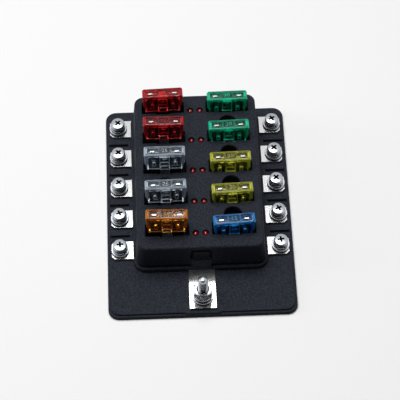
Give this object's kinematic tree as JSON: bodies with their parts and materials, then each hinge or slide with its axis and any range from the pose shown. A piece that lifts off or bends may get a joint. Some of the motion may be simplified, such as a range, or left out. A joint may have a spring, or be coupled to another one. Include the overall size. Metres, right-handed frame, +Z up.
{
  "type": "blade fuse block",
  "caption": "Blade fuse block: flat moulded base, raised housing with two columns of fuse sockets and indicator lamps, side screw terminals and a front feed stud.",
  "frame": {"origin": "centre of the base's underside", "axes": "+Z up, -Y towards the feed stud, +X to the right seen from the feed stud"},
  "size_m": [0.0866, 0.115, 0.0352],
  "materials": {
    "charcoal_plastic": "fine moulded grain",
    "tinned_brass": "bright tin plating",
    "zinc_steel": "zinc plated",
    "lamp_red": "red lamps on a small board",
    "fuse_metal": "tinned zinc",
    "fuse_red": "translucent",
    "fuse_clear": "translucent",
    "fuse_orange": "translucent",
    "fuse_green": "translucent",
    "fuse_yellow": "translucent",
    "fuse_blue": "translucent"
  },
  "bodies": {
    "block": {"base": "charcoal_plastic", "housing": "charcoal_plastic", "bus_bar": "tinned_brass", "lamp_board": "lamp_red", "feed_stud": "zinc_steel", "feed_flat_washer": "zinc_steel", "terminal_left_1": "tinned_brass", "terminal_left_2": "tinned_brass", "terminal_left_3": "tinned_brass", "terminal_left_4": "tinned_brass", "terminal_left_5": "tinned_brass", "terminal_right_1": "tinned_brass", "terminal_right_2": "tinned_brass", "terminal_right_3": "tinned_brass", "terminal_right_4": "tinned_brass", "terminal_right_5": "tinned_brass"},
    "fuse_left_1": {"fuse_left_1_body": "fuse_red", "fuse_left_1_element": "fuse_metal"},
    "washers_left_1": {"terminal_washer_left_1": "zinc_steel"},
    "screw_left_1": {"terminal_screw_left_1": "zinc_steel"},
    "fuse_left_2": {"fuse_left_2_body": "fuse_red", "fuse_left_2_element": "fuse_metal"},
    "washers_left_2": {"terminal_washer_left_2": "zinc_steel"},
    "screw_left_2": {"terminal_screw_left_2": "zinc_steel"},
    "fuse_left_3": {"fuse_left_3_body": "fuse_clear", "fuse_left_3_element": "fuse_metal"},
    "washers_left_3": {"terminal_washer_left_3": "zinc_steel"},
    "screw_left_3": {"terminal_screw_left_3": "zinc_steel"},
    "fuse_left_4": {"fuse_left_4_body": "fuse_clear", "fuse_left_4_element": "fuse_metal"},
    "washers_left_4": {"terminal_washer_left_4": "zinc_steel"},
    "screw_left_4": {"terminal_screw_left_4": "zinc_steel"},
    "fuse_left_5": {"fuse_left_5_body": "fuse_orange", "fuse_left_5_element": "fuse_metal"},
    "washers_left_5": {"terminal_washer_left_5": "zinc_steel"},
    "screw_left_5": {"terminal_screw_left_5": "zinc_steel"},
    "fuse_right_1": {"fuse_right_1_body": "fuse_green", "fuse_right_1_element": "fuse_metal"},
    "washers_right_1": {"terminal_washer_right_1": "zinc_steel"},
    "screw_right_1": {"terminal_screw_right_1": "zinc_steel"},
    "fuse_right_2": {"fuse_right_2_body": "fuse_green", "fuse_right_2_element": "fuse_metal"},
    "washers_right_2": {"terminal_washer_right_2": "zinc_steel"},
    "screw_right_2": {"terminal_screw_right_2": "zinc_steel"},
    "fuse_right_3": {"fuse_right_3_body": "fuse_yellow", "fuse_right_3_element": "fuse_metal"},
    "washers_right_3": {"terminal_washer_right_3": "zinc_steel"},
    "screw_right_3": {"terminal_screw_right_3": "zinc_steel"},
    "fuse_right_4": {"fuse_right_4_body": "fuse_yellow", "fuse_right_4_element": "fuse_metal"},
    "washers_right_4": {"terminal_washer_right_4": "zinc_steel"},
    "screw_right_4": {"terminal_screw_right_4": "zinc_steel"},
    "fuse_right_5": {"fuse_right_5_body": "fuse_blue", "fuse_right_5_element": "fuse_metal"},
    "washers_right_5": {"terminal_washer_right_5": "zinc_steel"},
    "screw_right_5": {"terminal_screw_right_5": "zinc_steel"},
    "nut_washer": {"feed_spring_washer": "zinc_steel"},
    "nut": {"feed_nut": "zinc_steel"}
  },
  "joints": [
    {"name": "fuse_left_1_pull", "type": "slide", "parent": "block", "child": "fuse_left_1", "axis": [0, 0, 1], "range_m": [-0.0047, 0.0093]},
    {"name": "washers_left_1_rise", "type": "slide", "parent": "block", "child": "washers_left_1", "axis": [0, 0, 1], "range_m": [0, 0.0035]},
    {"name": "screw_left_1_turn", "type": "hinge", "parent": "washers_left_1", "child": "screw_left_1", "pos_m": [-0.03725, 0.04565, 0.0069], "axis": [0, 0, 1], "range_deg": [0, 1805]},
    {"name": "fuse_left_2_pull", "type": "slide", "parent": "block", "child": "fuse_left_2", "axis": [0, 0, 1], "range_m": [-0.006, 0.008]},
    {"name": "washers_left_2_rise", "type": "slide", "parent": "block", "child": "washers_left_2", "axis": [0, 0, 1], "range_m": [0, 0.0035]},
    {"name": "screw_left_2_turn", "type": "hinge", "parent": "washers_left_2", "child": "screw_left_2", "pos_m": [-0.03725, 0.02845, 0.0069], "axis": [0, 0, 1], "range_deg": [0, 1805]},
    {"name": "fuse_left_3_pull", "type": "slide", "parent": "block", "child": "fuse_left_3", "axis": [0, 0, 1], "range_m": [-0.0064, 0.0076]},
    {"name": "washers_left_3_rise", "type": "slide", "parent": "block", "child": "washers_left_3", "axis": [0, 0, 1], "range_m": [0, 0.0035]},
    {"name": "screw_left_3_turn", "type": "hinge", "parent": "washers_left_3", "child": "screw_left_3", "pos_m": [-0.03725, 0.01125, 0.0069], "axis": [0, 0, 1], "range_deg": [0, 1805]},
    {"name": "fuse_left_4_pull", "type": "slide", "parent": "block", "child": "fuse_left_4", "axis": [0, 0, 1], "range_m": [-0.0046, 0.0094]},
    {"name": "washers_left_4_rise", "type": "slide", "parent": "block", "child": "washers_left_4", "axis": [0, 0, 1], "range_m": [0, 0.0035]},
    {"name": "screw_left_4_turn", "type": "hinge", "parent": "washers_left_4", "child": "screw_left_4", "pos_m": [-0.03725, -0.00595, 0.0069], "axis": [0, 0, 1], "range_deg": [0, 1805]},
    {"name": "fuse_left_5_pull", "type": "slide", "parent": "block", "child": "fuse_left_5", "axis": [0, 0, 1], "range_m": [-0.0062, 0.0078]},
    {"name": "washers_left_5_rise", "type": "slide", "parent": "block", "child": "washers_left_5", "axis": [0, 0, 1], "range_m": [0, 0.0035]},
    {"name": "screw_left_5_turn", "type": "hinge", "parent": "washers_left_5", "child": "screw_left_5", "pos_m": [-0.03725, -0.02315, 0.0069], "axis": [0, 0, 1], "range_deg": [0, 1805]},
    {"name": "fuse_right_1_pull", "type": "slide", "parent": "block", "child": "fuse_right_1", "axis": [0, 0, 1], "range_m": [-0.0011, 0.0129]},
    {"name": "washers_right_1_rise", "type": "slide", "parent": "block", "child": "washers_right_1", "axis": [0, 0, 1], "range_m": [0, 0.0035]},
    {"name": "screw_right_1_turn", "type": "hinge", "parent": "washers_right_1", "child": "screw_right_1", "pos_m": [0.03725, 0.04565, 0.0069], "axis": [0, 0, 1], "range_deg": [0, 1805]},
    {"name": "fuse_right_2_pull", "type": "slide", "parent": "block", "child": "fuse_right_2", "axis": [0, 0, 1], "range_m": [-0.0015, 0.0125]},
    {"name": "washers_right_2_rise", "type": "slide", "parent": "block", "child": "washers_right_2", "axis": [0, 0, 1], "range_m": [0, 0.0035]},
    {"name": "screw_right_2_turn", "type": "hinge", "parent": "washers_right_2", "child": "screw_right_2", "pos_m": [0.03725, 0.02845, 0.0069], "axis": [0, 0, 1], "range_deg": [0, 1805]},
    {"name": "fuse_right_3_pull", "type": "slide", "parent": "block", "child": "fuse_right_3", "axis": [0, 0, 1], "range_m": [-0.0004, 0.0136]},
    {"name": "washers_right_3_rise", "type": "slide", "parent": "block", "child": "washers_right_3", "axis": [0, 0, 1], "range_m": [0, 0.0035]},
    {"name": "screw_right_3_turn", "type": "hinge", "parent": "washers_right_3", "child": "screw_right_3", "pos_m": [0.03725, 0.01125, 0.0069], "axis": [0, 0, 1], "range_deg": [0, 1805]},
    {"name": "fuse_right_4_pull", "type": "slide", "parent": "block", "child": "fuse_right_4", "axis": [0, 0, 1], "range_m": [0, 0.014]},
    {"name": "washers_right_4_rise", "type": "slide", "parent": "block", "child": "washers_right_4", "axis": [0, 0, 1], "range_m": [0, 0.0035]},
    {"name": "screw_right_4_turn", "type": "hinge", "parent": "washers_right_4", "child": "screw_right_4", "pos_m": [0.03725, -0.00595, 0.0069], "axis": [0, 0, 1], "range_deg": [0, 1805]},
    {"name": "fuse_right_5_pull", "type": "slide", "parent": "block", "child": "fuse_right_5", "axis": [0, 0, 1], "range_m": [-0.0004, 0.0136]},
    {"name": "washers_right_5_rise", "type": "slide", "parent": "block", "child": "washers_right_5", "axis": [0, 0, 1], "range_m": [0, 0.0035]},
    {"name": "screw_right_5_turn", "type": "hinge", "parent": "washers_right_5", "child": "screw_right_5", "pos_m": [0.03725, -0.02315, 0.0069], "axis": [0, 0, 1], "range_deg": [0, 1805]},
    {"name": "nut_washer_rise", "type": "slide", "parent": "block", "child": "nut_washer", "axis": [0, 0, 1], "range_m": [0, 0.008]},
    {"name": "nut_turn", "type": "hinge", "parent": "nut_washer", "child": "nut", "pos_m": [0, -0.0492, 0.0076], "axis": [0, 0, 1], "range_deg": [0, 3605]}
  ],
  "couplings": [
    {"joint": "screw_left_1_turn", "follows": "washers_left_1_rise", "rad_per_m": 8976},
    {"joint": "screw_left_2_turn", "follows": "washers_left_2_rise", "rad_per_m": 8976},
    {"joint": "screw_left_3_turn", "follows": "washers_left_3_rise", "rad_per_m": 8976},
    {"joint": "screw_left_4_turn", "follows": "washers_left_4_rise", "rad_per_m": 8976},
    {"joint": "screw_left_5_turn", "follows": "washers_left_5_rise", "rad_per_m": 8976},
    {"joint": "screw_right_1_turn", "follows": "washers_right_1_rise", "rad_per_m": 8976},
    {"joint": "screw_right_2_turn", "follows": "washers_right_2_rise", "rad_per_m": 8976},
    {"joint": "screw_right_3_turn", "follows": "washers_right_3_rise", "rad_per_m": 8976},
    {"joint": "screw_right_4_turn", "follows": "washers_right_4_rise", "rad_per_m": 8976},
    {"joint": "screw_right_5_turn", "follows": "washers_right_5_rise", "rad_per_m": 8976},
    {"joint": "nut_turn", "follows": "nut_washer_rise", "rad_per_m": 7854}
  ]
}
